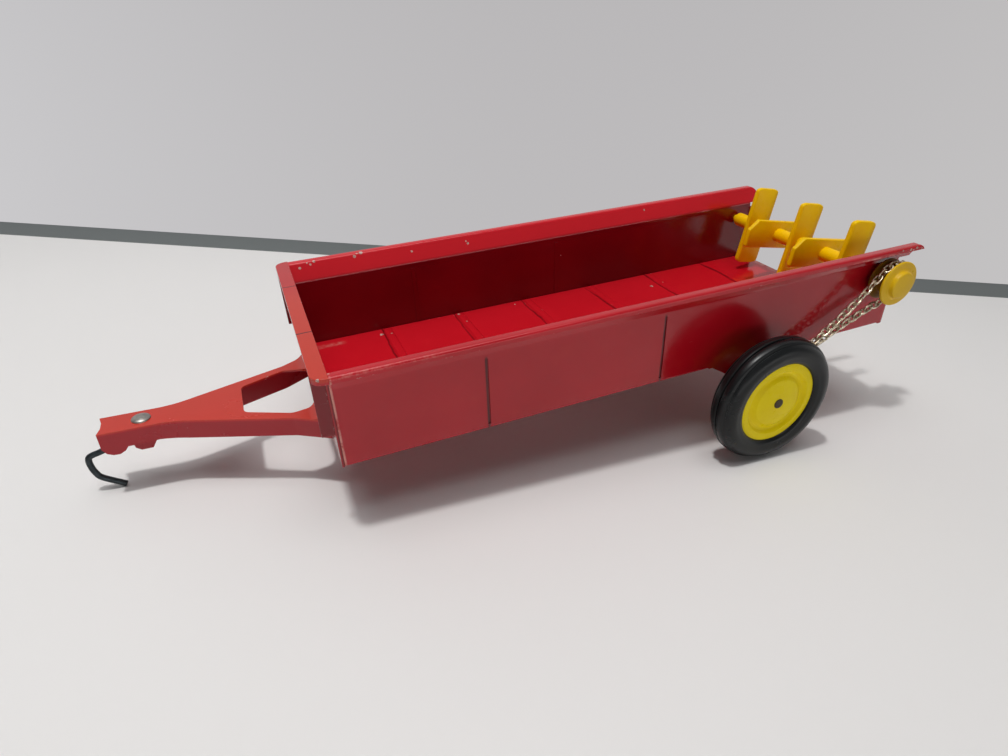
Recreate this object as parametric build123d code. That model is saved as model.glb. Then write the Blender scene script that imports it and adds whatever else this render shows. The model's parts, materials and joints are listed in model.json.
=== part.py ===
"""Pressed-steel toy manure spreader, about one sixteenth of a farm machine.

A red sheet-metal box with flared sides stands on one axle with two rubber-tyred wheels.
A channel drawbar with a bent wire hook is fixed to its front.  A moulded paddle beater
across the tail is turned by a small link chain from a pulley on the axle.

Millimetres.  The toy is drawn level with the centre of its axle at the origin:
X runs rearward, +Y is the machine's right-hand side and Z is up.  At the end it is laid
down as it parks, on its two tyres and its hook, over the middle of its own footprint.
"""
import os
from math import asin, atan2, ceil, cos, degrees, hypot, pi, radians, sin, tan

from build123d import *

# ---------------------------------------------------------------- driving dimensions
sheet = 0.9                  # steel sheet of the box and the drawbar
fit_gap = 0.05               # radial clearance of the turning shafts

# Box
box_width = 85.4             # over the side walls
box_front = 154.2            # axle to the front face of the front panel
box_rear = 72.0              # axle to the rear edge of the side walls
floor_top = 10.4             # above the axle
flare_height = 37.0          # where the side walls start to lean out
rim_height = 44.2            # top of the rim
flare_out = 3.3              # sideways lean of the flare
rim_reach = 6.0              # side wall to the outer edge of its turned rim
rim_drop = 2.1               # depth of the rim's turned-down edge
rim_rear = 74.2              # axle to the rear end of the rim
corner_margin = 2.7          # what the round rear corner of the rim leaves of the flare's height
front_lip = 4.9              # forward reach of the front panel's lip
lip_corner = 4.0             # round front corners of that lip
skirt_return = 4.5           # flange under the floor, turned in from each side wall
tail_return = 4.0            # flange turned in at the rear edge of each side wall
tail_bend = 3.0              # outer radius of that bend
tail_margin = 1.6            # its top below the flare
post_bottom = 21.0           # lower end of the front panel's forward side flanges
crease_depth = 0.35          # pressed upright creases in the side walls
crease_width = 1.0
creases = (-105.3, -39.0)    # their places along X

# Floor
slat_first = -121.8          # first pressed cross slat
slat_pitch = 32.7
slat_count = 6
slat_base = 4.2
slat_top = 2.6
slat_rise = 0.6
floor_gap = 0.2              # floor edge to the bend of each side wall
floor_rear = 70.0            # end of the floor, turned down
roll_radius = 1.0
roll_drop = 1.3
corner_gap = 0.3             # floor and skirt to the bends at the tail

# Running gear
tyre_radius = 24.6
tyre_width = 11.6
tyre_bore = 15.8
tyre_stand = 9.5             # side wall to the inner side of a tyre
face_inset = 1.8             # side of the tyre to the face of the wheel
wheel_radius = 16.1
wheel_sheet = 1.4
ring_width = 2.9             # flat outer ring of the wheel
moat_radius = 11.8           # pressed groove inside that ring
moat_width = 0.6
moat_depth = 1.0
dome_radius = 9.4
dome_rise = 0.4              # middle of the wheel above its ring
hub_radius = 4.2
axle_radius = 1.6
axle_head = 0.5              # peened end of the axle beyond the wheel's middle
head_radius = 1.9
lobe_half = 15.5             # half width of the side wall's axle lobe at its root
lobe_radius = 5.5

# Beater and its pulley
beater_x = 61.2
beater_z = 30.9
shaft_radius = 3.4
journal_radius = 1.6
paddle_length = 35.6
paddle_width = 12.5
paddle_thick = 2.2
paddle_pitch = 13.65
paddle_corner = 0.9
paddle_lean = 11.0           # how far the beater has turned from upright, degrees
pulley_radius = 8.8
inner_flange_radius = 8.2    # clears the leaning flare
groove_radius = 5.4
flange_thick = 1.1
flange_edge = 0.4            # worn edge of the outer flange
groove_width = 4.7
boss_radius = 5.4
boss_length = 2.0
pulley_gap = 1.9             # side wall to the pulley

# Chain
link_pitch = 2.8
link_wire = 0.75
link_width = 2.9
link_point = 0.2             # how far the pointed ends reach past the bar
link_taper = 0.7             # length of the tapered ends
link_play = 0.14
wrap_gap = 0.25              # chain to the bottom of the pulleys' grooves
slack_top = 18.0             # how far the slack upper run turns down at the beater pulley, degrees
slack_low = 50.0             # and at the axle pulley

# Drawbar, laid level here and then tipped about its rivet
drawbar_slope = 2.42         # it rises forward, degrees
drawbar_side = 0.8           # it sits off the middle, to the right
drawbar_top = 16.7
drawbar_front = 223.6        # axle to the torn front end
tear = 0.8
drawbar_half = 5.1           # half width of its straight front part
drawbar_neck = 202.0         # axle to where the legs begin to spread
neck_bend = 30.0
leg_x = 164.6                # axle to the outer bend of the legs
leg_half = 18.6
leg_bend = 6.0
foot_half = 25.0             # half width of the feet on the front panel
foot_rise = 9.0              # how far the turned-up feet stand above the bar
foot_bend = 5.5              # bend up to the feet
foot_overlap = 0.3           # trimmed off at the front panel
window_front = 179.6
window_front_half = 8.6
window_mid = 164.5
window_half = 15.2
window_rear = 156.4
window_rear_half = 13.4
window_bends = (2.5, 4.0, 4.5)
near_edge = [                # lower edge of the left flange: (ahead of the axle, depth below the top)
    (223.4, 6.1), (222.5, 7.7), (220.8, 8.6), (218.8, 8.7), (217.0, 7.7), (216.0, 6.4), (206.8, 6.1), (198.0, 6.9)]
near_depth = 6.9
far_edge = [                 # lower edge of the right flange, with its hanging lug
    (223.4, 4.0), (217.4, 6.4), (216.2, 13.4), (214.6, 14.6), (211.0, 14.6), (209.4, 12.0),
    (196.0, 11.1), (180.0, 9.6)]
far_depth = 8.7

# Rivet and hook
rivet_x = 211.0
rivet_head = 3.0
rivet_rise = 1.1
rivet_edge = 0.7
rivet_shank = 1.5
rivet_tail = 2.4
tail_rise = 0.9
wire_radius = 1.0
hook_route = [               # (ahead of the axle, height), from the eye to the free end
    (217.5, 14.3), (220.4, 11.2), (222.3, 8.4), (225.5, 7.2), (228.7, 6.2), (229.5, 4.6),
    (229.4, 1.9), (228.8, -0.6), (227.4, -2.9), (221.4, -7.3)]

# ---------------------------------------------------------------- derived sizes
wall_y = box_width / 2
inner_y = wall_y - sheet
rim_y = wall_y + rim_reach
rim_corner = rim_height - flare_height - corner_margin
wall_bottom = floor_top - 2 * sheet
panel_back = -box_front + sheet
tail_root = box_rear - tail_bend
pulley_inner = wall_y + pulley_gap
groove_inner = pulley_inner + flange_thick
chain_y = groove_inner + groove_width / 2
wrap_radius = groove_radius + link_width / 2 + wrap_gap
tyre_inner = wall_y + tyre_stand
tyre_middle = tyre_inner + tyre_width / 2
wheel_face = tyre_inner + tyre_width - face_inset
wheel_crown = wheel_face + dome_rise
eye_z = drawbar_top - sheet - wire_radius
eye_radius = rivet_shank + fit_gap + wire_radius
LEFT, RIGHT = -1, 1


def sheet_strip(points, radii):
    """Section of the sheet along its centre line, bends rounded."""
    with BuildSketch() as section:
        with BuildLine():
            FilletPolyline(*points, radius=radii)
        trace(line_width=sheet)
    return section.sketch


def box_at(x0, x1, y0, y1, z0, z1):
    """Block between two corners."""
    return Pos((x0 + x1) / 2, (y0 + y1) / 2, (z0 + z1) / 2) * Box(x1 - x0, y1 - y0, z1 - z0)


def side_view(points, y0, y1):
    """Plate with the given X, Z outline between two values of Y."""
    face = Plane.XZ.offset(-y0) * make_face(Polyline(*points, close=True))
    return extrude(face, amount=y0 - y1)


def across(radius, y0, y1, x=0.0, z=0.0):
    """Round bar along Y."""
    return Pos(x, (y0 + y1) / 2, z) * Rot(90, 0, 0) * Cylinder(radius, y1 - y0)


def turned(profile, side):
    """Solid of revolution about the axle from a table of (radius, distance from centre)."""
    face = make_face(Polyline(*[(r, side * y) for r, y in profile], close=True))
    return revolve(face, Axis.Y, 360)


# ---------------------------------------------------------------- box
def side_panel(side):
    """Side wall with its skirt flange, flare, turned rim, creases, axle lobe and holes."""
    half = sheet / 2
    section = sheet_strip(
        [(wall_y - skirt_return, wall_bottom + half),
         (wall_y - half, wall_bottom + half),
         (wall_y - half, flare_height),
         (wall_y - half + flare_out, rim_height - half),
         (rim_y - half, rim_height - half),
         (rim_y - half, rim_height - rim_drop)],
        [0.6, 2.5, 0.9, 0.7])
    panel = extrude(Plane.YZ.offset(panel_back) * section, amount=rim_rear - panel_back)
    skirt_end = floor_rear - roll_radius - sheet / 2 - corner_gap
    panel -= box_at(skirt_end, rim_rear, 0, inner_y, wall_bottom - 1, wall_bottom + sheet + 1)
    step = flare_height + 0.5
    with BuildSketch(Plane.XZ) as outline:
        with BuildLine():
            FilletPolyline((panel_back, 0), (panel_back, rim_height + 1), (rim_rear, rim_height + 0.01),
                           (rim_rear, step), (tail_root, step), (tail_root, 0),
                           radius=[0, 0, rim_corner, 0, 0, 0], close=True)
        make_face()
    panel &= extrude(outline.sketch, amount=rim_y + 1, both=True)
    notch = lobe_half + 1.5
    panel -= box_at(-notch, notch, 0, wall_y, wall_bottom - 1, wall_bottom + 2)
    lobe = [(-notch, wall_bottom + 2.5), (-notch, wall_bottom), (-lobe_half, wall_bottom),
            (-lobe_half * 0.55, 4.2), (-lobe_radius, 0)]
    lobe += [(-x, z) for x, z in reversed(lobe)]
    panel += side_view(lobe, inner_y, wall_y)
    panel += across(lobe_radius, inner_y, wall_y)
    panel -= across(axle_radius + fit_gap, inner_y - 1, wall_y + 1)
    panel -= across(journal_radius + fit_gap, inner_y - 1, wall_y + 1, beater_x, beater_z)
    tail = sheet_strip([(tail_root - 1, wall_y - half), (box_rear - half, wall_y - half),
                        (box_rear - half, wall_y - tail_return)], [tail_bend - half])
    panel += Pos(0, 0, wall_bottom) * extrude(tail, amount=flare_height - tail_margin - wall_bottom)
    for x in creases:
        low, high = wall_bottom + 2, flare_height - 2
        reach = crease_width / 2
        panel -= box_at(x - reach, x + reach, wall_y - crease_depth, wall_y + 1, low, high)
        panel += box_at(x - reach - 0.3, x + reach + 0.3, inner_y - crease_depth, inner_y, low, high)
    return panel if side == RIGHT else panel.mirror(Plane.XZ)


def floor_pan():
    """Floor sheet with pressed cross slats and its rear edge rolled down."""
    middle = floor_top - sheet / 2
    section = sheet_strip([(panel_back, middle), (floor_rear, middle), (floor_rear, middle - roll_drop)],
                          [roll_radius])
    floor = extrude(Plane.XZ * section, amount=inner_y - floor_gap, both=True)
    inside = wall_y - tail_return - corner_gap
    for side in (LEFT, RIGHT):
        y0, y1 = sorted((side * inside, side * wall_y))
        floor -= box_at(tail_root - corner_gap, box_rear, y0, y1, wall_bottom - 1, floor_top + 1)
    half = inner_y - 1.5
    for k in range(slat_count):
        x = slat_first + k * slat_pitch + slat_base / 2
        a, b = slat_base / 2, slat_top / 2
        rib = [(x - a, floor_top), (x - b, floor_top + slat_rise),
               (x + b, floor_top + slat_rise), (x + a, floor_top)]
        floor += side_view(rib, -half, half)
        floor -= box_at(x - b, x + b, -half, half, floor_top - sheet - 1, floor_top - sheet + 0.4)
    return floor


def front_panel():
    """Front wall with its forward lip, turned down at the edge, and its side flanges."""
    shoulder = wall_y + flare_out
    face = [(-wall_y, wall_bottom), (-wall_y, flare_height), (-shoulder, rim_height - sheet / 2),
            (shoulder, rim_height - sheet / 2), (wall_y, flare_height), (wall_y, wall_bottom)]
    panel = extrude(Plane.YZ.offset(-box_front) * make_face(Polyline(*face, close=True)), amount=sheet)
    lip_front = panel_back - front_lip
    turn = []
    for inset, back in ((0, 0), (sheet, 1)):
        with BuildSketch() as lip:
            with BuildLine():
                y = rim_y - inset
                FilletPolyline((panel_back + back, -y), (lip_front + inset, -y),
                               (lip_front + inset, y), (panel_back + back, y),
                               radius=[0, lip_corner - inset, lip_corner - inset, 0], close=True)
            make_face()
        turn.append(lip.sketch)
    rim = Pos(0, 0, rim_height - rim_drop) * extrude(turn[0], amount=rim_drop)
    rim -= Pos(0, 0, rim_height - rim_drop - 1) * extrude(turn[1], amount=rim_drop + 1 - sheet)
    panel += rim
    for side in (LEFT, RIGHT):
        y0, y1 = sorted((side * (wall_y - 0.5 - sheet), side * (wall_y - 0.5)))
        panel += box_at(lip_front, -box_front, y0, y1, post_bottom, rim_height - sheet / 2)
    return panel


# ---------------------------------------------------------------- drawbar and hook
tipped = Pos(-rivet_x, drawbar_side, drawbar_top) * Rot(0, drawbar_slope, 0) * Pos(rivet_x, 0, -drawbar_top)


def rounded(half_outline, end=()):
    """Face from one half of an outline as (X, Y, bend) and its mirror image, closed by end."""
    loop = half_outline + [(x, -y, r) for x, y, r in reversed(half_outline)] + list(end)
    with BuildSketch() as face:
        with BuildLine():
            FilletPolyline(*[(x, y) for x, y, _ in loop], radius=[r for _, _, r in loop], close=True)
        make_face()
    return face.sketch


def drawbar():
    """Channel drawbar that spreads into two legs on the front panel; its front end is torn."""
    back = -box_front + foot_overlap
    outline = rounded(
        [(-drawbar_front, drawbar_half, 0), (-drawbar_neck, drawbar_half, neck_bend),
         (-leg_x, leg_half, leg_bend), (back, foot_half, 0)],
        [(-drawbar_front + tear, -drawbar_half / 3, 0), (-drawbar_front + tear, drawbar_half / 3, 0)])
    bends = window_bends
    window = rounded([(-window_front, window_front_half, bends[0]), (-window_mid, window_half, bends[1]),
                      (-window_rear, window_rear_half, bends[2])])
    bar = Pos(0, 0, drawbar_top - sheet) * extrude(outline, amount=sheet)
    middle, face = drawbar_top - sheet / 2, back - sheet / 2
    rise = sheet_strip([(face - 2 * foot_bend, middle), (face, middle), (face, drawbar_top + foot_rise)], [foot_bend])
    feet = extrude(Plane.XZ * rise, amount=foot_half, both=True)
    feet &= extrude(outline, amount=drawbar_top + foot_rise)
    bar -= box_at(face - foot_bend - 0.2, back, -foot_half, foot_half, drawbar_top - 2, drawbar_top + 1)
    bar += feet
    bar -= Pos(0, 0, drawbar_top - 2) * extrude(window, amount=4 + foot_bend)
    inner = offset(outline, amount=-sheet, kind=Kind.INTERSECTION)
    inner += Pos(-drawbar_front, 0) * Rectangle(8, 2 * (drawbar_half - sheet))
    skirt = extrude(outline, amount=drawbar_top - sheet / 2) - extrude(inner, amount=drawbar_top)
    for side, lower, depth in ((LEFT, near_edge, near_depth), (RIGHT, far_edge, far_depth)):
        keep = [(-drawbar_front - 1, drawbar_top), (-drawbar_front - 1, drawbar_top - 4)]
        keep += [(-x, drawbar_top - deep) for x, deep in lower]
        keep += [(back + 1, drawbar_top - depth), (back + 1, drawbar_top)]
        bar += skirt & side_view(keep, *sorted((0, side * foot_half)))
    bar -= Pos(-rivet_x, 0, drawbar_top) * Cylinder(rivet_shank, 4)
    return tipped * bar - box_at(-box_front, -box_front + 9, -rim_y, rim_y, 0, flare_height)


def drawbar_rivet():
    """Round-headed rivet that clamps the hook's eye under the drawbar."""
    head = Pos(0, 0, drawbar_top + rivet_rise / 2) * Cylinder(rivet_head, rivet_rise)
    head = chamfer(head.edges().group_by(Axis.Z)[-1], rivet_edge)
    eye_low = eye_z - wire_radius
    shank = Pos(0, 0, (drawbar_top + eye_low) / 2) * Cylinder(rivet_shank, drawbar_top - eye_low)
    tail = Pos(0, 0, eye_low - tail_rise / 2) * Cylinder(rivet_tail, tail_rise)
    return tipped * Pos(-rivet_x, 0, 0) * (head + shank + tail)


def hitch_hook():
    """Bent wire hook with an eye round the rivet."""
    points = [(-rivet_x - eye_radius, eye_z)] + [(-x, z) for x, z in hook_route]
    route = Plane.XZ * Polyline(*points)
    wire = sweep(Plane(route @ 0, z_dir=route % 0) * Circle(wire_radius), path=route, transition=Transition.RIGHT)
    ring = Plane.XZ * Pos(eye_radius, 0) * Rot(0, 0, 22.5) * RegularPolygon(wire_radius, 8)
    return tipped * (wire + Pos(-rivet_x, 0, eye_z) * revolve(ring, Axis.Z, 360))


# ---------------------------------------------------------------- running gear
def axle():
    """Straight axle, peened over outside both wheels."""
    rod = across(axle_radius, -wheel_crown, wheel_crown)
    for side in (LEFT, RIGHT):
        y0, y1 = sorted((side * wheel_crown, side * (wheel_crown + axle_head)))
        rod += across(head_radius, y0, y1)
    return rod


def wheel(side):
    """Pressed wheel: hub, domed disc inside a groove, flat outer ring and the barrel in the tyre."""
    hub_start = groove_inner + groove_width + flange_thick
    back = wheel_face - moat_depth - wheel_sheet
    lip = wheel_face - wheel_sheet / 2
    moat = wheel_face - moat_depth
    profile = [
        (axle_radius, hub_start), (hub_radius, hub_start), (hub_radius, back), (tyre_bore - wheel_sheet, back),
        (tyre_bore - wheel_sheet, tyre_inner + wheel_sheet), (tyre_bore, tyre_inner + wheel_sheet),
        (tyre_bore, lip), (wheel_radius, wheel_face),
        (wheel_radius - ring_width, wheel_face), (moat_radius, moat), (moat_radius - moat_width, moat),
        (dome_radius, wheel_face - 0.1), (axle_radius, wheel_crown),
    ]
    return turned(profile, side)


def tyre(side):
    """Rubber tyre with round shoulders; its tread bulges past the wheel on both sides."""
    half = tyre_width / 2
    profile = [               # (radius, distance from the middle of the tyre)
        (tyre_bore, -half + 1.4), (tyre_radius - 4.1, -half), (tyre_radius - 1.4, -half + 1.4),
        (tyre_radius, -half + 4.1), (tyre_radius, half - 4.1), (tyre_radius - 1.4, half - 1.4),
        (tyre_radius - 4.1, half), (wheel_radius, half - face_inset),
        (tyre_bore, half - face_inset - wheel_sheet / 2),
    ]
    return turned([(r, tyre_middle + y) for r, y in profile], side)


def pulley(boss):
    """Flanged chain pulley on the left-hand side, with or without its outer boss."""
    outer = groove_inner + groove_width
    face = outer + flange_thick
    profile = [
        (axle_radius, pulley_inner), (inner_flange_radius, pulley_inner),
        (inner_flange_radius, groove_inner - 0.3), (groove_radius, groove_inner + 0.3),
        (groove_radius, outer - 0.3), (pulley_radius, outer + 0.3), (pulley_radius - flange_edge, face),
    ]
    if boss:
        top = face + boss_length
        profile += [(boss_radius, face), (boss_radius - flange_edge, top)]
        profile += [(0, top), (0, top - 1.2), (axle_radius, top - 1.2)]
    else:
        profile += [(axle_radius, face)]
    return turned(profile, LEFT)


# ---------------------------------------------------------------- beater
def beater():
    """One moulding: a round shaft with five flat paddles, each a quarter turn from the next."""
    half = inner_y - 1.0
    roll = across(shaft_radius, -half, half)
    for k in range(-2, 3):
        upright = k % 2 == 0
        size = (paddle_width, paddle_length) if upright else (paddle_length, paddle_width)
        plate = Box(size[0], paddle_thick, size[1])
        plate = chamfer(plate.edges().filter_by(Axis.Y), paddle_corner)
        roll += Pos(0, k * paddle_pitch, 0) * plate
    end = groove_inner + groove_width + flange_thick + boss_length - 1.2
    roll += across(journal_radius, -end, wall_y + 1.2)
    return Pos(beater_x, 0, beater_z) * Rot(0, paddle_lean, 0) * roll


# ---------------------------------------------------------------- chain
def chain_route(steps=400):
    """Points round the chain's loop: over the beater pulley, sagging down, round the axle pulley, back."""
    lie = atan2(beater_z, beater_x)
    early, late = radians(slack_top), radians(slack_low)

    def rim_point(x, z, angle):
        return (x + wrap_radius * cos(angle), z + wrap_radius * sin(angle))

    top, low = lie + pi / 2, lie - pi / 2
    over = [rim_point(beater_x, beater_z, low + (pi + early) * k / steps) for k in range(steps)]
    start = rim_point(beater_x, beater_z, top + early)
    stop = rim_point(0, 0, top - late)
    # the tangents at both ends of the slack run meet at its control point
    a, b = lie + early, lie - late
    dx, dz = stop[0] - start[0], stop[1] - start[1]
    reach = (dx * sin(b) - dz * cos(b)) / (cos(a) * sin(b) - sin(a) * cos(b))
    bend = (start[0] + reach * cos(a), start[1] + reach * sin(a))
    run = []
    for k in range(steps):
        t = k / steps
        weights = ((1 - t) ** 2, 2 * t * (1 - t), t ** 2)
        run.append(tuple(sum(w * p[i] for w, p in zip(weights, (start, bend, stop))) for i in (0, 1)))
    under = [rim_point(0, 0, top - late + (pi + late) * k / steps) for k in range(steps)]
    return over + run + under


def chain_stations():
    """Evenly spaced joints of the links along the loop."""
    route = chain_route()
    legs = [hypot(b[0] - a[0], b[1] - a[1]) for a, b in zip(route, route[1:] + route[:1])]
    total = sum(legs)
    count = 2 * ceil(total / link_pitch / 2)
    stations, walked, k = [], 0.0, 0
    for (x, z), leg, (x1, z1) in zip(route, legs, route[1:] + route[:1]):
        while k < count and walked + leg >= k * total / count - 1e-9:
            part = (k * total / count - walked) / leg
            stations.append((x + part * (x1 - x), z + part * (z1 - z)))
            k += 1
        walked += leg
    return stations, total / count


def drive_chain():
    """Closed loop of wire links; every second one stands on edge in its neighbours."""
    stations, pitch = chain_stations()
    a, b = (pitch + link_play) / 2 + link_wire, link_width / 2
    tip, shoulder = a + link_point, a - link_taper
    ring = make_face(Polyline((-tip, 0), (-shoulder, -b), (shoulder, -b), (tip, 0), (shoulder, b),
                              (-shoulder, b), close=True))
    ring -= Rectangle(pitch + link_play, link_width - 2 * link_wire)
    link = Pos(0, 0, -link_wire / 2) * extrude(ring, amount=link_wire)
    links = []
    for k, (x, z) in enumerate(stations):
        x1, z1 = stations[(k + 1) % len(stations)]
        turn = degrees(atan2(z1 - z, x1 - x))
        place = Pos((x + x1) / 2, -chain_y, (z + z1) / 2) * Rot(0, -turn, 0) * Rot(90 * (k % 2), 0, 0)
        links.append(place * link)
    return Compound(children=links)


# ---------------------------------------------------------------- assembly, laid down as it parks
hook_tip, hook_bend = [(tipped * Pos(-x, 0, z)).position for x, z in (hook_route[-1], hook_route[-2])]


def park_angle():
    """Nose-down lean that brings the edge of the hook's end to the plane the tyres stand on."""
    leg = atan2(hook_bend.Z - hook_tip.Z, hook_tip.X - hook_bend.X)
    reach, rise = hypot(hook_tip.X, hook_tip.Z), atan2(-hook_tip.Z, -hook_tip.X)
    angle = 0.0
    for _ in range(9):
        angle = asin((tyre_radius - wire_radius * cos(leg - angle)) / reach) - rise
    return degrees(angle)


nodes = {
    "side_left": side_panel(LEFT),
    "side_right": side_panel(RIGHT),
    "floor_pan": floor_pan(),
    "front_panel": front_panel(),
    "drawbar": drawbar(),
    "drawbar_rivet": drawbar_rivet(),
    "hitch_hook": hitch_hook(),
    "axle": axle(),
    "wheels": Compound(children=[wheel(LEFT), wheel(RIGHT)]),
    "tyres": Compound(children=[tyre(LEFT), tyre(RIGHT)]),
    "drive_pulley": pulley(boss=False),
    "beater": beater(),
    "beater_pulley": Pos(beater_x, 0, beater_z) * pulley(boss=True),
    "drive_chain": drive_chain(),
}

lean = Rot(0, -park_angle(), 0)
parked = {name: lean * solid for name, solid in nodes.items()}
boxes = [solid.bounding_box() for solid in parked.values()]
front, rear = min(box.min.X for box in boxes), max(box.max.X for box in boxes)
place = Pos(-(front + rear) / 2, 0, tyre_radius)

os.makedirs("parts", exist_ok=True)
for name, solid in parked.items():
    export_step(place * solid, f"parts/{name}.step")

for label, point in {"axle": (0, 0, 0), "beater": (beater_x, 0, beater_z), "hook tip": tuple(hook_tip),
                     "hook bend": tuple(hook_bend), "rivet": (-rivet_x, 0, drawbar_top)}.items():
    spot = (place * lean * Pos(*point)).position
    print(f"{label}: {spot.X:.3f} {spot.Y:.3f} {spot.Z:.3f}")
print(f"park angle {park_angle():.4f} degrees; length {rear - front:.2f}; origin {place.position.X:.3f}")
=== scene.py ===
import json
import random
from math import atan2, ceil, cos, pi, radians, sin, tan

import bmesh
import bpy
from mathutils import Matrix, Vector


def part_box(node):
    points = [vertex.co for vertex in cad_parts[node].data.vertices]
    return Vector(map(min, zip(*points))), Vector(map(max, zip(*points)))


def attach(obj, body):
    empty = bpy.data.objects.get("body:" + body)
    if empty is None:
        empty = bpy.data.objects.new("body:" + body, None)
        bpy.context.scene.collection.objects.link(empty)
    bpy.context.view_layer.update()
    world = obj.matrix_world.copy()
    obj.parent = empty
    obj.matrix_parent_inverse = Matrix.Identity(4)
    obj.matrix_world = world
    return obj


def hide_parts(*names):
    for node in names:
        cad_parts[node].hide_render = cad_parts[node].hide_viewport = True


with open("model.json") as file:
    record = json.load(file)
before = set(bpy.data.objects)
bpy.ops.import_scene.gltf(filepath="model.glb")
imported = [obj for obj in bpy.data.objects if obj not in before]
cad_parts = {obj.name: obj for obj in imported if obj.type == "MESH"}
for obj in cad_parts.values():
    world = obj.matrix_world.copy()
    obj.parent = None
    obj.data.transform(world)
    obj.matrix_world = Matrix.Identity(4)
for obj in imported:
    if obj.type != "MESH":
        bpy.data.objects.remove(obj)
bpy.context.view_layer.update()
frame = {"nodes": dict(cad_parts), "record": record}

random.seed(16)

# ---------------------------------------------------------------- places
# The toy's own frame, in millimetres: level, with the centre of its axle at the origin,
# X rearward, +Y its right-hand side, Z up.  It parks nose-down by LEAN, which comes from
# the joints' places.
ROLL = Vector((61.2, 0, 30.9))           # the beater's axis
places = {j["name"]: Vector(j["pos_m"]) for j in frame["record"]["behaviour"]["joints"]}
apart = places["beater_spin"] - places["axle_spin"]
LEAN = atan2(apart.z, apart.x) - atan2(ROLL.z, ROLL.x)
TOY = (Matrix.Translation(places["axle_spin"]) @ Matrix.Rotation(-LEAN, 4, "Y")
       @ Matrix.Scale(0.001, 4))

# Box
WALL = 42.7                              # outer face of a side wall, from the middle
FRONT = -154.2                           # front face of the front panel
REAR = 72.0                              # rear edge of the side walls, below the rim
FLARE = 37.0                             # where the side walls start to lean out
RIM = 44.2                               # top of the rim
RIM_OUT = 48.7                           # outer edge of the rim
FLOOR = 10.4                             # top of the floor, between its slats
CREASES = (-105.3, -39.0)                # upright creases of the side walls
SLAT_FIRST, SLAT_PITCH, SLAT_COUNT = -121.8, 32.7, 6      # pressed cross slats of the floor
SLATS = [SLAT_FIRST + SLAT_PITCH * k for k in range(SLAT_COUNT)]

# Drawbar, drawn level and then tipped about its rivet
DRAWBAR_TOP = 16.7
DRAWBAR_SHEET = 0.9
DRAWBAR_SIDE = 0.8                       # it sits off the middle, to the right
RIVET_X = -211.0
SLOPE = radians(2.42)                    # it rises forward
TIPPED = (Matrix.Translation((RIVET_X, DRAWBAR_SIDE, DRAWBAR_TOP))
          @ Matrix.Rotation(SLOPE, 4, "Y") @ Matrix.Translation((-RIVET_X, 0, -DRAWBAR_TOP)))

# Running gear
tyre_low, tyre_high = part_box("tyres")
DOME_RISE = 0.4                          # middle of a wheel above its ring
WHEEL_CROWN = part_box("wheels")[1][1] * 1000
WHEEL_FACE = WHEEL_CROWN - DOME_RISE
PIN_R = 1.6                              # the axle, the beater's ends and the holes for them
TYRE_R = (tyre_high[2] - tyre_low[2]) * 1000 / 2
TYRE_BORE = 15.8
TYRE_HALF = 5.8                          # half width of a tyre
TYRE_MID = tyre_high[1] * 1000 - TYRE_HALF
PULLEY_IN, GROOVE_IN, GROOVE_OUT, PULLEY_OUT = 44.6, 45.7, 50.4, 51.5    # from the middle
LEFT, RIGHT = -1, 1


def toy(x, y, z):
    """World place of a point given in the toy's own frame."""
    return TOY @ Vector((x, y, z))


# ---------------------------------------------------------------- making pieces
def finish_mesh(name, bm, material, body, nodes, smooth, place=TOY):
    """Turns a bmesh in the toy's frame into a piece that rides on a body."""
    bmesh.ops.recalc_face_normals(bm, faces=bm.faces)
    mesh = bpy.data.meshes.new(name)
    bm.to_mesh(mesh)
    bm.free()
    mesh.transform(place)
    mesh.materials.append(material)
    for poly in mesh.polygons:
        poly.use_smooth = True
    mesh.set_sharp_from_angle(angle=radians(smooth))
    obj = bpy.data.objects.new(name, mesh)
    bpy.context.scene.collection.objects.link(obj)
    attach(obj, body)
    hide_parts(*nodes)
    return obj


def join_rings(bm, a, b):
    """Faces between two rings of vertices; a ring of one vertex is a point."""
    if len(a) == len(b) == 1:
        return
    count = max(len(a), len(b))
    for k in range(count):
        n = (k + 1) % count
        if len(a) == 1:
            bm.faces.new((a[0], b[k], b[n]))
        elif len(b) == 1:
            bm.faces.new((a[k], b[0], a[n]))
        else:
            bm.faces.new((a[k], b[k], b[n], a[n]))


def revolve(bm, profile, count, centre=(0, 0), side=RIGHT, closed=True):
    """Surface turned about a Y axis from (radius, y) points; a radius of 0 closes on the axis."""
    x, z = centre
    rings = []
    for r, y in profile:
        turns = [2 * pi * k / count for k in range(count if r > 1e-6 else 1)]
        rings.append([bm.verts.new((x + r * cos(a), side * y, z + r * sin(a))) for a in turns])
    for a, b in zip(rings, rings[1:]):
        join_rings(bm, a, b)
    if closed:
        join_rings(bm, rings[-1], rings[0])


def bow(start, middle, end, steps):
    """Points of the curve that leaves start and reaches end along the lines to middle."""
    points = []
    for k in range(steps + 1):
        t = k / steps
        points.append(start * (1 - t) ** 2 + middle * 2 * t * (1 - t) + end * t ** 2)
    return points


def rounded(rows, steps=4):
    """Open outline from (x, y, bend) rows, each corner between its ends rounded by its bend."""
    points = [Vector((x, y)) for x, y, _ in rows]
    out = [points[0]]
    for p, q, s, (_, _, bend) in zip(points, points[1:], points[2:], rows[1:]):
        before, after = p - q, s - q
        angle = before.angle(after)
        cut = 0
        if bend > 0:
            cut = min(bend / tan(angle / 2), 0.49 * before.length, 0.49 * after.length)
        if cut > 1e-6:
            out += bow(q + before.normalized() * cut, q, q + after.normalized() * cut, steps)
        else:
            out.append(q)
    out.append(points[-1])
    return [tuple(v) for v in out]


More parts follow.
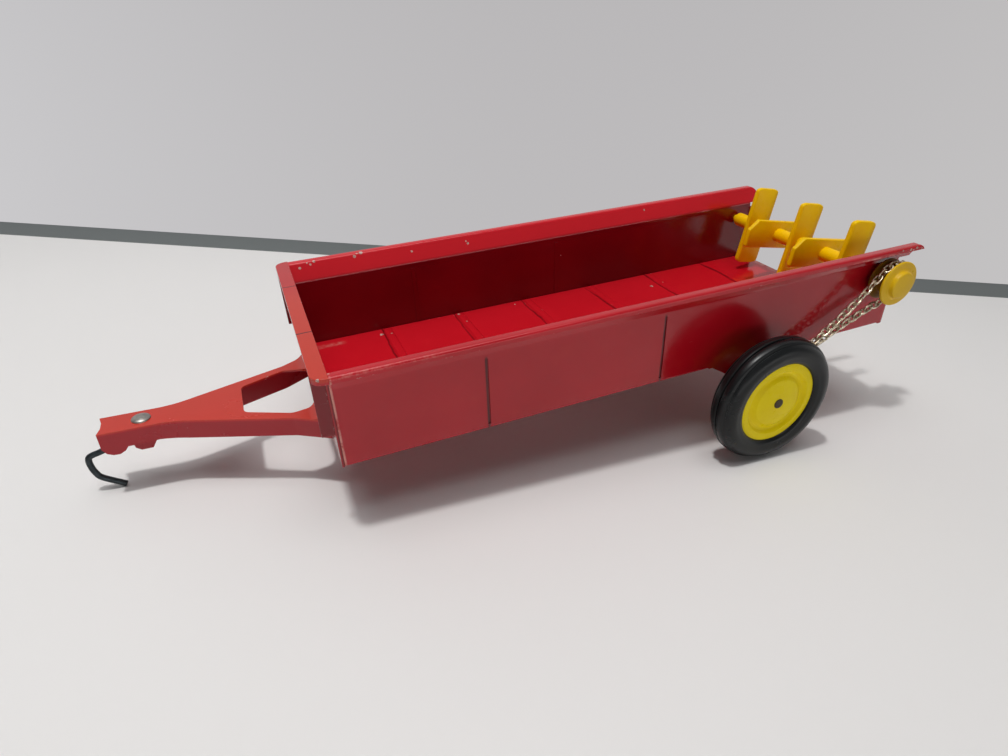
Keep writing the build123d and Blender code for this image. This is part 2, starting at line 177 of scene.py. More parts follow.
def tube(bm, path, radius, sides, closed=False):
    """Round bar along a list of points, with flat ends unless it is closed."""
    count = len(path)
    path = [Vector(p) for p in path]
    turns = [2 * pi * i / sides for i in range(sides)]
    up = None
    rings = []
    for k, p in enumerate(path):
        before = path[(k - 1) % count] if closed or k else p
        after = path[(k + 1) % count] if closed or k < count - 1 else p
        along = (after - before).normalized()
        if up is None:
            up = along.orthogonal().normalized()
        up = (up - along * up.dot(along)).normalized()
        across = along.cross(up)
        rings.append([bm.verts.new(p + (up * cos(a) + across * sin(a)) * radius) for a in turns])
    for a, b in zip(rings, rings[1:]):
        join_rings(bm, a, b)
    first, last = rings[0], rings[-1]
    if not closed:
        bm.faces.new(first)
        bm.faces.new(last)
        return

    def gap(shift):
        return sum((v.co - first[(i + shift) % sides].co).length for i, v in enumerate(last))

    # the last ring meets the first one at the turn that twists least
    turn = min(range(sides), key=gap)
    join_rings(bm, last, first[turn:] + first[:turn])


def softened(name, node, material, width):
    """A CAD node's own sheet metal with its sharp edges rubbed round."""
    sharp = 30
    bm = bmesh.new()
    bm.from_mesh(frame["nodes"][node].data)
    bmesh.ops.remove_doubles(bm, verts=bm.verts, dist=1e-6)
    bmesh.ops.dissolve_limit(bm, angle_limit=radians(1.0), verts=bm.verts, edges=bm.edges)
    piece = finish_mesh(name, bm, material, "box", (node,), sharp, Matrix.Identity(4))
    bevel = piece.modifiers.new("rubbed_edges", "BEVEL")
    bevel.width = width
    bevel.segments = 2
    bevel.limit_method = "ANGLE"
    bevel.angle_limit = radians(sharp)
    bevel.harden_normals = True
    bevel.use_clamp_overlap = True


# ---------------------------------------------------------------- materials
class Nodes:
    """Short names for building a material's node tree."""

    def __init__(self, name):
        self.material = bpy.data.materials.new(name)
        self.material.use_nodes = True
        self.tree = self.material.node_tree
        self.tree.nodes.clear()
        self.out = self.new("ShaderNodeOutputMaterial")
        self.shader = self.new("ShaderNodeBsdfPrincipled")
        self.link(self.shader.outputs[0], self.out.inputs["Surface"])
        self.coords = self.new("ShaderNodeTexCoord").outputs["Object"]
        self.toy = None

    def new(self, kind):
        return self.tree.nodes.new(kind)

    def link(self, a, b):
        self.tree.links.new(a, b)

    def put(self, value, socket):
        """Links a node's output, or sets a plain value."""
        if hasattr(value, "is_output"):
            self.link(value, socket)
        elif value is not None:
            socket.default_value = value

    def noise(self, scale, detail, rough, seed, stretch=None, distortion=0.0):
        n = self.new("ShaderNodeTexNoise")
        n.noise_dimensions = "4D"
        n.inputs["W"].default_value = seed
        n.inputs["Scale"].default_value = scale
        n.inputs["Detail"].default_value = detail
        n.inputs["Roughness"].default_value = rough
        n.inputs["Distortion"].default_value = distortion
        self.link(self.stretched(stretch) if stretch else self.coords, n.inputs["Vector"])
        return n.outputs["Fac"]

    def stretched(self, stretch):
        m = self.new("ShaderNodeMapping")
        m.inputs["Scale"].default_value = stretch
        self.link(self.coords, m.inputs["Vector"])
        return m.outputs[0]

    def ramp(self, fac, low, high, out_low=0.0, out_high=1.0):
        """out_low up to low, out_high from high on, smooth in between."""
        r = self.new("ShaderNodeMapRange")
        r.interpolation_type = "SMOOTHSTEP"
        r.inputs["From Min"].default_value = low
        r.inputs["From Max"].default_value = high
        r.inputs["To Min"].default_value = out_low
        r.inputs["To Max"].default_value = out_high
        self.link(fac, r.inputs["Value"])
        return r.outputs[0]

    def math(self, kind, a, b=None, clamp=False):
        m = self.new("ShaderNodeMath")
        m.operation = kind
        m.use_clamp = clamp
        self.put(a, m.inputs[0])
        self.put(b, m.inputs[1])
        return m.outputs[0]

    def mix(self, fac, a, b):
        m = self.new("ShaderNodeMix")
        m.data_type = "RGBA"
        self.put(fac, m.inputs[0])
        self.put(a, m.inputs[6])
        self.put(b, m.inputs[7])
        return m.outputs[2]

    def mix_value(self, fac, a, b):
        m = self.new("ShaderNodeMix")
        m.data_type = "FLOAT"
        self.put(fac, m.inputs[0])
        self.put(a, m.inputs[2])
        self.put(b, m.inputs[3])
        return m.outputs[0]

    def distance(self, place):
        """Distance of the surface from a place, in metres."""
        d = self.new("ShaderNodeVectorMath")
        d.operation = "DISTANCE"
        self.link(self.coords, d.inputs[0])
        d.inputs[1].default_value = place
        return d.outputs["Value"]

    def axes(self):
        """X, Y and Z of the surface in the toy's own frame, in millimetres."""
        if self.toy is None:
            m = self.new("ShaderNodeMapping")
            back = TOY.inverted()
            m.inputs["Location"].default_value = back.to_translation()
            m.inputs["Rotation"].default_value = back.to_euler()
            m.inputs["Scale"].default_value = (1000, 1000, 1000)
            self.link(self.coords, m.inputs["Vector"])
            split = self.new("ShaderNodeSeparateXYZ")
            self.link(m.outputs[0], split.inputs[0])
            self.toy = split.outputs
        return self.toy

    def away(self):
        """Distance from the toy's middle plane, in millimetres."""
        return self.math("ABSOLUTE", self.axes()[1])

    def band(self, value, low, high, soft):
        """1 between low and high, falling to 0 over soft."""
        return self.both(self.ramp(value, low - soft, low + soft),
                         self.ramp(value, high + soft, high - soft))

    def both(self, *masks):
        out = masks[0]
        for m in masks[1:]:
            out = self.math("MULTIPLY", out, m)
        return out

    def most(self, *masks):
        out = masks[0]
        for m in masks[1:]:
            out = self.math("MAXIMUM", out, m)
        return out

    def edges(self, radius):
        """1 on sharp edges, by how far the surface turns within radius."""
        b = self.new("ShaderNodeBevel")
        b.samples = 4
        b.inputs["Radius"].default_value = radius
        g = self.new("ShaderNodeNewGeometry")
        d = self.new("ShaderNodeVectorMath")
        d.operation = "DOT_PRODUCT"
        self.link(b.outputs[0], d.inputs[0])
        self.link(g.outputs["True Normal"], d.inputs[1])
        return self.ramp(d.outputs["Value"], 0.985, 0.86)

    def bump(self, height, strength, distance, normal=None):
        b = self.new("ShaderNodeBump")
        b.inputs["Strength"].default_value = strength
        b.inputs["Distance"].default_value = distance
        self.link(height, b.inputs["Height"])
        if normal is not None:
            self.link(normal, b.inputs["Normal"])
        return b.outputs[0]

    def set(self, color, rough, normal=None, metal=None, spec=None):
        for value, socket in ((color, "Base Color"), (rough, "Roughness"), (normal, "Normal"),
                              (metal, "Metallic"), (spec, "Specular IOR Level")):
            self.put(value, self.shader.inputs[socket])
        return self.material


# The red enamel, new, with a warmer painted highlight, painted light and painted shade, a dark red
# for painted shade in creases and for seams, and what shows where it is worn (on the left rim
# partly a painted highlight)
RED = (0.500, 0.0060, 0.0150, 1)
RED_DEEP = (0.440, 0.0040, 0.0110, 1)
RED_DULL = (0.520, 0.018, 0.014, 1)
RED_PAINTED_HIGHLIGHT = (0.56, 0.042, 0.008, 1)
RED_PAINTED_LIGHT = (0.640, 0.0080, 0.0180, 1)
RED_PAINTED_SHADE = (0.150, 0.0010, 0.0050, 1)
SHADE_AND_SEAMS = (0.055, 0.002, 0.004, 1)
PALE = (0.62, 0.42, 0.36, 1)
PINK = (0.66, 0.26, 0.22, 1)
STEEL = (0.30, 0.27, 0.25, 1)
PRIMER = (0.56, 0.38, 0.33, 1)
PRIMER_DARK = (0.24, 0.11, 0.09, 1)
YELLOW_DIRT = (0.20, 0.11, 0.02, 1)
YELLOW_SHADE = (0.16, 0.055, 0.004, 1)
RUBBER = (0.0040, 0.0048, 0.0052, 1)
RUBBER_WORN = (0.0070, 0.0082, 0.0090, 1)
DUST = (0.06, 0.055, 0.05, 1)
RUST = (0.10, 0.045, 0.02, 1)


def red_paint(name, chips, wear, seed, dull=0.0, grime_and_shade=None, worn=None, dark=None, painted_highlight=None,
              bright=None, rub=None):
    """Old glossy enamel: slight colour change, orange peel, rubbed edges, chips and scratches.

    chips lists the (x, y, z, reach) of each chip, in millimetres.  The masks for dark lines
    (painted shade in creases and along slats, and seams), pale wear (partly a painted
    highlight), painted shade, a warmer painted highlight, painted light and rubbed edges are
    each made from the material's nodes, in the toy's frame.
    """
    n = Nodes(name)

    def cloud(step, scale, detail, rough, **more):
        """Noise of this paint's own, one for each step."""
        return n.noise(scale, detail, rough, seed + step, **more)

    color = n.mix(n.ramp(cloud(0, 28, 3, 0.5), 0.35, 0.7), RED_DEEP, RED)
    faded = n.ramp(cloud(2, 90, 5, 0.6), 0.52, 0.80, 0, 0.35 + dull * 0.4)
    color = n.mix(faded, color, RED_DULL)
    # painted light, a warmer painted highlight and painted shade, each where its mask puts it
    for mask, shade in ((bright, RED_PAINTED_LIGHT), (painted_highlight, RED_PAINTED_HIGHLIGHT), (dark, RED_PAINTED_SHADE)):
        if mask:
            color = n.mix(mask(n), color, shade)

    # rubbed edges
    edge = n.edges(0.0006)
    if rub:
        edge = n.both(edge, rub(n))
    broken = n.ramp(cloud(5, 420, 4, 0.7), 0.62 - 0.16 * wear, 0.74 - 0.10 * wear)
    rubbed = n.math("MULTIPLY", edge, broken, clamp=True)

    # small chips, and a ragged one round each place given
    chip = n.ramp(cloud(9, 330, 3, 0.6), 0.775, 0.790)
    for x, y, z, reach in chips:
        reach *= 0.001
        jag = n.ramp(cloud(11, 900, 3, 0.6), 0.2, 0.8, -0.35 * reach, 0.35 * reach)
        ragged = n.math("ADD", n.distance(toy(x, y, z)), jag)
        chip = n.most(chip, n.ramp(ragged, reach * 1.15, reach * 0.85))

    # fine scratches along the box
    lines = cloud(3, 55, 6, 0.75, stretch=(1.0, 30.0, 30.0), distortion=0.4)
    patches = n.ramp(cloud(4, 60, 2, 0.5), 0.50, 0.62)
    scratch = n.both(n.ramp(lines, 0.690, 0.700), patches)
    color = n.mix(n.math("MULTIPLY", scratch, 0.30), color, PALE)
    # pale pink where the paint is worn; on the left rim partly a painted highlight
    if worn:
        patchy = n.ramp(cloud(13, 240, 4, 0.7), 0.36, 0.62)
        color = n.mix(n.both(worn(n), patchy), color, PINK)
    metal = n.mix(n.ramp(cloud(6, 600, 3, 0.6), 0.45, 0.6), PALE, STEEL)
    color = n.mix(n.math("MULTIPLY", rubbed, 0.75), color, metal)
    primer = n.mix(n.ramp(cloud(14, 800, 3, 0.6), 0.50, 0.62), PRIMER, PRIMER_DARK)
    color = n.mix(chip, color, primer)
    # dark red lines: painted shade in creases and along slats, and dark seams
    if grime_and_shade:
        color = n.mix(grime_and_shade(n), color, SHADE_AND_SEAMS)

    bare = n.most(rubbed, chip)
    rough = n.ramp(cloud(7, 45, 5, 0.65), 0.30, 0.75, 0.10 + dull * 0.16, 0.24 + dull * 0.25)
    rough = n.mix_value(bare, rough, 0.45)
    normal = n.bump(cloud(12, 60, 2, 0.5), 0.25, 0.0006)              # slow waves in the sheet
    normal = n.bump(cloud(8, 900, 2, 0.5), 0.10, 0.00008, normal)     # orange peel
    normal = n.bump(bare, -0.5, 0.00010, normal)
    return n.set(color, rough, normal, spec=0.5)


def yellow(name, base, deep, rough, seed, grime_and_shade, shade=None, spec=0.12):
    """Yellow enamel or moulded plastic, a little dirty."""
    n = Nodes(name)
    color = n.mix(n.ramp(n.noise(70, 4, 0.6, seed), 0.3, 0.75), base, deep)
    color = n.mix(n.ramp(n.noise(260, 5, 0.7, seed + 1), 0.66, 0.86, 0, grime_and_shade), color, YELLOW_DIRT)
    if shade:
        color = n.mix(shade(n), color, YELLOW_SHADE)
    rough = n.ramp(n.noise(120, 4, 0.6, seed + 2), 0.3, 0.7, *rough)
    normal = n.bump(n.noise(900, 3, 0.6, seed + 3), 0.15, 0.00008)
    return n.set(color, rough, normal, spec=spec)


def rubber():
    """Black rubber, a little dusty."""
    n = Nodes("tyre_rubber")
    color = n.mix(n.ramp(n.noise(60, 5, 0.6, 3), 0.35, 0.75), RUBBER, RUBBER_WORN)
    color = n.mix(n.ramp(n.noise(500, 5, 0.7, 4), 0.60, 0.85, 0, 0.10), color, DUST)
    rough = n.ramp(n.noise(80, 4, 0.6, 5), 0.3, 0.7, 0.24, 0.38)
    normal = n.bump(n.noise(1500, 2, 0.5, 6), 0.12, 0.00006)
    return n.set(color, rough, normal, spec=0.30)


def steel(name, light, dark, rough, seed, rust):
    """Bare metal, speckled with rust."""
    n = Nodes(name)
    color = n.mix(n.ramp(n.noise(500, 5, 0.7, seed), 0.35, 0.7), light, dark)
    color = n.mix(n.ramp(n.noise(260, 4, 0.7, seed + 1), 0.60, 0.75, 0, rust), color, RUST)
    rough = n.ramp(n.noise(700, 4, 0.6, seed + 2), 0.3, 0.7, *rough)
    normal = n.bump(n.noise(1800, 3, 0.6, seed + 3), 0.2, 0.00005)
    return n.set(color, rough, normal, metal=0.85)


# ---------------------------------------------------------------- where the paint is worn or dirty, and where light and shade are painted
def wall_creases(n):
    """Painted shade in the two upright creases of a side wall's outer face."""
    x, y, z = n.axes()
    wobble = n.ramp(n.noise(40, 3, 0.6, 91), 0.3, 0.7, -0.15, 0.15)
    shifted = n.math("ADD", x, wobble)
    lines = n.most(*[n.band(shifted, c - 0.42, c + 0.38, 0.42) for c in CREASES])
    below_flare = n.ramp(z, FLARE - 0.5, FLARE - 2.0)
    outside = n.ramp(n.away(), WALL - 0.7, WALL - 0.5)
    return n.both(lines, below_flare, outside, n.ramp(n.noise(90, 3, 0.6, 98), 0.3, 0.6, 0.70, 1.0))


def wall_rub(n):
    """Edges are rubbed on the rim and the walls' ends only, not in the creases."""
    x, y, z = n.axes()
    return n.most(n.ramp(z, RIM - 3.2, RIM - 2.2), n.ramp(x, FRONT + 2.7, FRONT + 1.7),
                  n.ramp(x, REAR - 2.0, REAR - 1.0))


def inner_painted_shade(n):
    """Painted shade on the inner faces of the side walls below the flare, a little patchy."""
    x, y, z = n.axes()
    fade = n.ramp(n.noise(22, 3, 0.5, 95), 0.25, 0.75, 0.75, 1.0)
    return n.both(n.ramp(n.away(), WALL - 0.15, WALL - 0.45), n.ramp(z, FLARE + 0.8, FLARE - 0.4),
                  fade)


def left_dark(n):
    """Painted shade inside, as on the other wall, and a slightly deeper red below the rim outside.
    """
    x, y, z = n.axes()
    fade = n.ramp(n.noise(16, 3, 0.5, 96), 0.3, 0.7, 0.13, 0.27)
    outside = n.both(n.ramp(y, 0.4 - WALL, 0.1 - WALL), n.ramp(z, RIM - 1.6, RIM - 3.2), fade)
    return n.most(inner_painted_shade(n), outside)


def front_painted_shade(n):
    """Painted shade on the front wall below its lip, darkest inside and on its posts."""
    x, y, z = n.axes()
    inside = n.ramp(x, FRONT + 0.3, FRONT + 0.6, 0.40, 0.85)
    posts = n.both(n.ramp(n.away(), WALL - 1.8, WALL - 1.6), n.ramp(x, FRONT + 0.3, FRONT - 0.2))
    return n.both(n.ramp(z, RIM - 2.0, RIM - 2.8), n.most(inside, n.math("MULTIPLY", posts, 0.85)))


def rim_painted_light(n):
    """Painted light: the flare and the rim are painted brightest."""
    x, y, z = n.axes()
    return n.ramp(z, FLARE + 0.4, FLARE + 1.4, 0.0, 0.8)


def rim_edge(n):
    """Paint worn pale on the left rim's outer edge, ahead and behind the wheel, and its end; ahead
    of the wheel and at the end the pale is partly a painted highlight.
    """
    x, y, z = n.axes()
    away = n.away()
    fine = n.ramp(n.noise(700, 4, 0.7, 97), 0.40, 0.60)
    ahead = n.both(n.ramp(x, -112.0, -132.0), n.band(away, RIM_OUT - 0.65, RIM_OUT + 0.2, 0.15),
                   n.ramp(z, RIM - 1.4, RIM - 0.9), fine)
    tail = n.both(n.band(x, 40.0, 60.0, 4.0), n.ramp(away, RIM_OUT - 0.6, RIM_OUT - 0.3),
                  n.ramp(z, RIM - 1.3, RIM - 1.7))
    end = n.ramp(x, FRONT + 1.7, FRONT + 1.3)
    return n.most(n.math("MULTIPLY", ahead, 0.32), n.math("MULTIPLY", tail, 0.8),
                  n.math("MULTIPLY", end, 1.2))


def lip_seams(n):
    """Two hairline seams across the front lip."""
    x, y, z = n.axes()
    across = n.math("ADD", y, n.ramp(n.noise(120, 3, 0.6, 92), 0.3, 0.7, -0.4, 0.4))
    seams = n.most(n.band(across, 21.7, 22.2, 0.15), n.band(across, -17.8, -17.3, 0.15))
    return n.both(seams, n.ramp(x, FRONT + 3.0, FRONT + 2.0), n.ramp(z, RIM - 2.7, RIM - 1.7))


def lip_painted_highlight(n):
    """A warmer red painted highlight on the lip's top, strongest on its left half."""
    x, y, z = n.axes()
    faded = n.both(n.ramp(y, 30.0, 4.0, 0.25, 1.0), n.ramp(z, RIM - 1.7, RIM - 0.7))
    return n.math("MULTIPLY", faded, 0.62)


def bar_height(n):
    """Height over the toy's axle, less the drawbar's rise forward of its rivet."""
    x, y, z = n.axes()
    return n.math("ADD", z, n.math("MULTIPLY", n.math("ADD", x, -RIVET_X), tan(SLOPE)))


def bar_painted_highlight(n):
    """A warmer red painted highlight on the drawbar's top plate."""
    return n.ramp(bar_height(n), DRAWBAR_TOP - 0.7, DRAWBAR_TOP - 0.2, 0.0, 0.58)


def bar_painted_shade(n):
    """Painted shade: its flanges are a deeper red."""
    return n.ramp(bar_height(n), DRAWBAR_TOP - 0.5, DRAWBAR_TOP - 1.1, 0.0, 0.36)


def slat_lines(n):
    """Painted shade along the front foot of each pressed cross slat."""
    x, y, z = n.axes()
    shifted = n.math("ADD", x, n.ramp(n.noise(30, 3, 0.6, 93), 0.25, 0.75, -0.8, 0.8))
    lines = n.most(*[n.band(shifted, c - 0.30, c + 0.24, 0.34) for c in SLATS])
    faint = n.ramp(n.noise(60, 3, 0.6, 94), 0.30, 0.60, 0.30, 0.85)
    return n.both(lines, faint, n.ramp(z, FLOOR - 0.4, FLOOR - 0.2))


def floor_worn(n):
    """A pale worn strip along the floor's edge in the front corner, and the scuffed tail edge."""
    x, y, z = n.axes()
    corner = n.both(n.ramp(x, -137.0, -141.0), n.band(y, 35.5, 38.0, 1.0))
    tail = n.ramp(x, 66.2, 67.6)
    return n.most(n.math("MULTIPLY", corner, 0.5), n.math("MULTIPLY", tail, 0.9))


def floor_painted_light(n):
    """Painted light: the floor's upper side is painted brighter."""
    x, y, z = n.axes()
    return n.ramp(z, FLOOR - 0.4, FLOOR - 0.2, 0.0, 0.55)


def pulley_shade(n):
    """Both pulleys are darker behind their outer flange."""
    x, y, z = n.axes()
    return n.ramp(y, -GROOVE_OUT, 0.4 - GROOVE_OUT, 0.0, 0.85)


# Chips that stand out, as (x, y, z, reach)
RIGHT_CHIPS = [
    (-149.5, 44.3, 42.2, 0.50), (-145.2, 44.6, 42.9, 0.42), (-143.7, 45.0, 43.8, 0.55),
    (-146.4, 44.9, 43.6, 0.35), (-127.7, 44.7, 43.1, 0.60), (-125.0, 45.2, 44.1, 0.80),
    (-126.6, 45.3, 44.0, 0.40), (-104.4, 43.9, 41.4, 0.45), (-79.9, 43.6, 40.9, 0.50),
    (-80.6, 43.9, 41.8, 0.35), (8.0, 44.2, 42.0, 0.45)]
LEFT_CHIPS = [
    (62.0, -48.6, 43.2, 0.38), (66.0, -48.5, 43.0, 0.50), (70.7, -47.8, 44.0, 0.40),
    (69.2, -48.5, 43.2, 0.48), (73.6, -46.6, 44.1, 0.40), (71.9, -48.5, 42.6, 0.35),
    (67.5, -48.6, 42.6, 0.32)]
FLOOR_CHIPS = [
    (-122.9, 36.6, 10.7, 0.85), (-119.0, 34.8, 11.0, 0.40), (-87.7, 39.4, 11.0, 0.55),
    (-86.8, 31.3, 11.0, 0.40), (-61.0, 38.8, 10.6, 0.40), (-57.0, 36.8, 11.0, 0.50),
    (-52.8, 27.7, 10.6, 0.40), (-26.3, 31.1, 11.0, 0.50), (4.8, 28.2, 10.8, 0.90),
    (11.3, 28.8, 10.8, 0.38)]
LIP_CHIPS = [(-156.2, -48.0, 43.9, 0.50), (-158.6, 12.0, 43.0, 0.45), (-158.6, -30.0, 43.2, 0.5)]
BAR_CHIPS = [(-157.2, -18.3, 16.4, 0.55), (-160.5, -17.9, 15.8, 0.4)]

# painted shade in the creases, along the slats, inside and on the drawbar's flanges; painted light
# on the rim and the floor; a warmer painted highlight on the lip and the drawbar's top
red_right = red_paint("red_enamel_side", RIGHT_CHIPS, wear=0.30, seed=1, grime_and_shade=wall_creases,
                      dark=inner_painted_shade, bright=rim_painted_light, rub=wall_rub)
red_left = red_paint("red_enamel_left", LEFT_CHIPS, wear=0.40, seed=2, grime_and_shade=wall_creases,
                     dark=left_dark, rub=wall_rub, worn=rim_edge)
red_floor = red_paint("red_enamel_floor", FLOOR_CHIPS, wear=0.25, seed=3, grime_and_shade=slat_lines,
                      worn=floor_worn, bright=floor_painted_light)
red_front = red_paint("red_enamel_front", LIP_CHIPS, wear=0.40, seed=4, grime_and_shade=lip_seams,
                      painted_highlight=lip_painted_highlight, dark=front_painted_shade)
red_bar = red_paint("red_enamel_drawbar", BAR_CHIPS, wear=0.30, seed=5, dull=0.35,
                    dark=bar_painted_shade, painted_highlight=bar_painted_highlight)
yellow_wheel = yellow("yellow_enamel_wheel", (0.88, 0.70, 0.004, 1), (0.80, 0.60, 0.002, 1),
                      rough=(0.24, 0.40), seed=11, grime_and_shade=0.25)
yellow_beater = yellow("yellow_plastic_beater", (0.95, 0.61, 0.001, 1), (0.92, 0.54, 0.001, 1),
                       rough=(0.24, 0.38), seed=21, grime_and_shade=0.10)
yellow_pulley = yellow("yellow_plastic_pulley", (0.74, 0.47, 0.006, 1), (0.62, 0.36, 0.004, 1),
                       rough=(0.26, 0.42), seed=31, grime_and_shade=0.35, shade=pulley_shade, spec=0.25)
black_rubber = rubber()
chain_steel = steel("chain_brass_steel", (0.78, 0.70, 0.54, 1), (0.34, 0.26, 0.16, 1),
                    rough=(0.18, 0.40), seed=41, rust=0.35)
rivet_steel = steel("rivet_steel", (0.40, 0.38, 0.35, 1), (0.25, 0.23, 0.21, 1),
                    rough=(0.30, 0.5), seed=51, rust=0.3)
dark_wire = steel("hook_wire", (0.045, 0.055, 0.060, 1), (0.025, 0.030, 0.032, 1),
                  rough=(0.30, 0.5), seed=61, rust=0.15)
axle_steel = steel("axle_steel", (0.09, 0.07, 0.05, 1), (0.035, 0.027, 0.02, 1),
                   rough=(0.35, 0.6), seed=71, rust=0.6)

# ---------------------------------------------------------------- the box and the drawbar
softened("wall_left", "side_left", red_left, 0.00022)
softened("wall_right", "side_right", red_right, 0.00022)
softened("floor", "floor_pan", red_floor, 0.00020)
softened("front_wall", "front_panel", red_front, 0.00022)
softened("drawbar_channel", "drawbar", red_bar, 0.00022)

# ---------------------------------------------------------------- rivet and hook
HOOK_WIRE = 1.0                          # radius
EYE_R = 2.55                             # the hook's eye round the rivet
EYE_Z = DRAWBAR_TOP - DRAWBAR_SHEET - HOOK_WIRE
RIVET_HEAD, RIVET_SHANK, RIVET_TAIL = 3.0, 1.5, 2.3
HOOK = [                                 # (x, z) of its wire from ahead of the eye to the free end
    (-217.5, 14.3), (-220.4, 11.2), (-222.3, 8.4), (-225.5, 7.2), (-228.7, 6.2),
    (-229.5, 4.6), (-229.4, 1.9), (-228.8, -0.6), (-227.4, -2.9), (-221.4, -7.3)]


def smooth_path(points, steps=8):
    """Catmull-Rom curve through the points."""
    pts = [Vector(p) for p in points]
    out = []
    for k in range(len(pts) - 1):
        p0, p1, p2, p3 = pts[max(k - 1, 0)], pts[k], pts[k + 1], pts[min(k + 2, len(pts) - 1)]
        for i in range(steps):
            t = i / steps
            out.append(0.5 * ((2 * p1) + (p2 - p0) * t + (2 * p0 - 5 * p1 + 4 * p2 - p3) * t * t
                              + (3 * p1 - p0 - 3 * p2 + p3) * t ** 3))
    out.append(pts[-1])
    return out


def rivet():
    """Round head over the drawbar, shank, and the clenched tail under the hook's eye."""
    edge, dome = 0.12, 0.95              # thickness of the head's edge, and its rise from there
    head = [(RIVET_HEAD * cos(a), edge + dome * sin(a))
            for a in map(radians, (78, 60, 42, 26, 12, 0))]
    tail = [(RIVET_SHANK, 0.0), (RIVET_SHANK, -3.8), (RIVET_TAIL, -3.8), (RIVET_TAIL, -4.5),
            (RIVET_TAIL - 0.3, -4.7), (0, -4.7)]
    bm = bmesh.new()
    revolve(bm, [(0, edge + dome)] + head + [(RIVET_HEAD, 0.0)] + tail, 64, closed=False)
    upright = Matrix.Translation((RIVET_X, 0, DRAWBAR_TOP)) @ Matrix.Rotation(radians(90), 4, "X")
    finish_mesh("rivet", bm, rivet_steel, "box", ("drawbar_rivet",), 40,
                TOY @ TIPPED @ upright)


def hook():
    """One bent wire: an eye round the rivet, then out and down to the free end."""
    eye = [Vector((RIVET_X + EYE_R * cos(a), EYE_R * sin(a), EYE_Z))
           for a in map(radians, range(-150, 181, 15))]
    leaving = Vector((RIVET_X - 3.4, 0.1, EYE_Z))
    out = [Vector((x, 0, z)) for x, z in HOOK]
    bm = bmesh.new()
    tube(bm, eye[:-1] + smooth_path([eye[-1], leaving] + out), HOOK_WIRE, 20)
    finish_mesh("hook", bm, dark_wire, "box", ("hitch_hook",), 50, TOY @ TIPPED)


rivet()
hook()

# ---------------------------------------------------------------- running gear
# Round outline of a tyre as (radius, distance from its middle), and its three tread grooves
CROWN = [(20.2, 5.8), (21.5, 5.5), (22.6, 4.85), (23.5, 3.95), (24.0, 3.2), (24.35, 2.3),
         (24.57, 1.1), (24.6, 0.0)]
GROOVES = [(-3.45, 0.65), (0.0, 0.75), (3.45, 0.65)]     # (from its middle, depth)


def crown(y):
    """Radius of the round tread at y from the tyre's middle."""
    y = abs(y)
    scale = TYRE_R / CROWN[-1][0]
    for (r1, y1), (r0, y0) in zip(CROWN, CROWN[1:]):
        if y >= y0:
            return (r0 + (r1 - r0) * (y - y0) / (y1 - y0)) * scale
    return TYRE_R


def tyres():
    """Bead inside the wheel's ring, bulging wall, grooved tread and the other wall."""
    half, tread = TYRE_HALF, 4.4         # half widths of the tyre and of its tread
    outline = [(TYRE_BORE, 1.4 - half), (17.6, 0.5 - half), (19.0, 0.1 - half), (20.2, -half),
               (21.5, -5.5), (22.6, -4.95), (crown(tread), -tread)]
    for place, depth in GROOVES:
        flank = ((0.72, 0.0), (0.50, 0.06), (0.34, 0.30), (0.20, depth))
        steps = [(-dy, drop) for dy, drop in flank] + [(dy, drop) for dy, drop in reversed(flank)]
        outline += [(crown(place + dy) - drop, place + dy) for dy, drop in steps]
        if place < GROOVES[-1][0]:
            outline += [(crown(place + dy) + 0.05, place + dy) for dy in (1.25, 2.2)]
    outline += [(crown(tread), tread), (22.6, 4.95), (21.5, 5.5), (20.2, 5.78), (19.2, 5.72),
                (18.4, 5.45), (17.9, 5.42), (17.2, 5.22), (16.5, 4.75), (16.15, 4.1),
                (TYRE_BORE, 3.3)]
    bm = bmesh.new()
    for side in (LEFT, RIGHT):
        revolve(bm, [(r, TYRE_MID + y) for r, y in outline], 144, side=side)
    finish_mesh("rubber_tyres", bm, black_rubber, "running_gear", ("tyres",), 38)


def wheels():
    """Pressed wheels: hub, barrel in the tyre, flat ring, groove and domed disc."""
    face, back, barrel = WHEEL_FACE, WHEEL_FACE - 2.4, 53.2
    outline = rounded([                  # (radius, from the toy's middle, bend)
        (PIN_R, PULLEY_OUT, 0), (4.2, PULLEY_OUT, 0.3), (4.2, back, 0.4), (14.4, back, 0.6),
        (14.4, barrel, 0.5), (TYRE_BORE, barrel, 0.2), (TYRE_BORE, face - 0.7, 0.2),
        (16.05, face - 0.1, 0), (15.3, face, 0.15), (13.3, face, 0.3), (12.3, face - 1.15, 0.7),
        (11.5, face - 1.35, 0.5), (10.7, face - 1.1, 0.4), (9.4, face - 0.15, 0.5),
        (4.0, face + 0.3, 1.0), (2.2, face + DOME_RISE, 3.0), (PIN_R, face + DOME_RISE, 0)])
    bm = bmesh.new()
    for side in (LEFT, RIGHT):
        revolve(bm, outline, 128, side=side)
    finish_mesh("pressed_wheels", bm, yellow_wheel, "running_gear", ("wheels",), 30)


def axle():
    """Rod with a peened head outside each wheel."""
    end = WHEEL_CROWN
    half = rounded([(PIN_R, 0, 0), (PIN_R, end, 0.02), (1.9, end, 0.02), (1.9, end + 0.3, 0.2),
                    (1.2, end + 0.5, 0.3), (0, end + 0.5, 0)], 3)
    bm = bmesh.new()
    for side in (LEFT, RIGHT):
        revolve(bm, half, 40, side=side, closed=False)
    bmesh.ops.remove_doubles(bm, verts=bm.verts, dist=1e-5)
    finish_mesh("axle_rod", bm, axle_steel, "running_gear", ("axle",), 40)


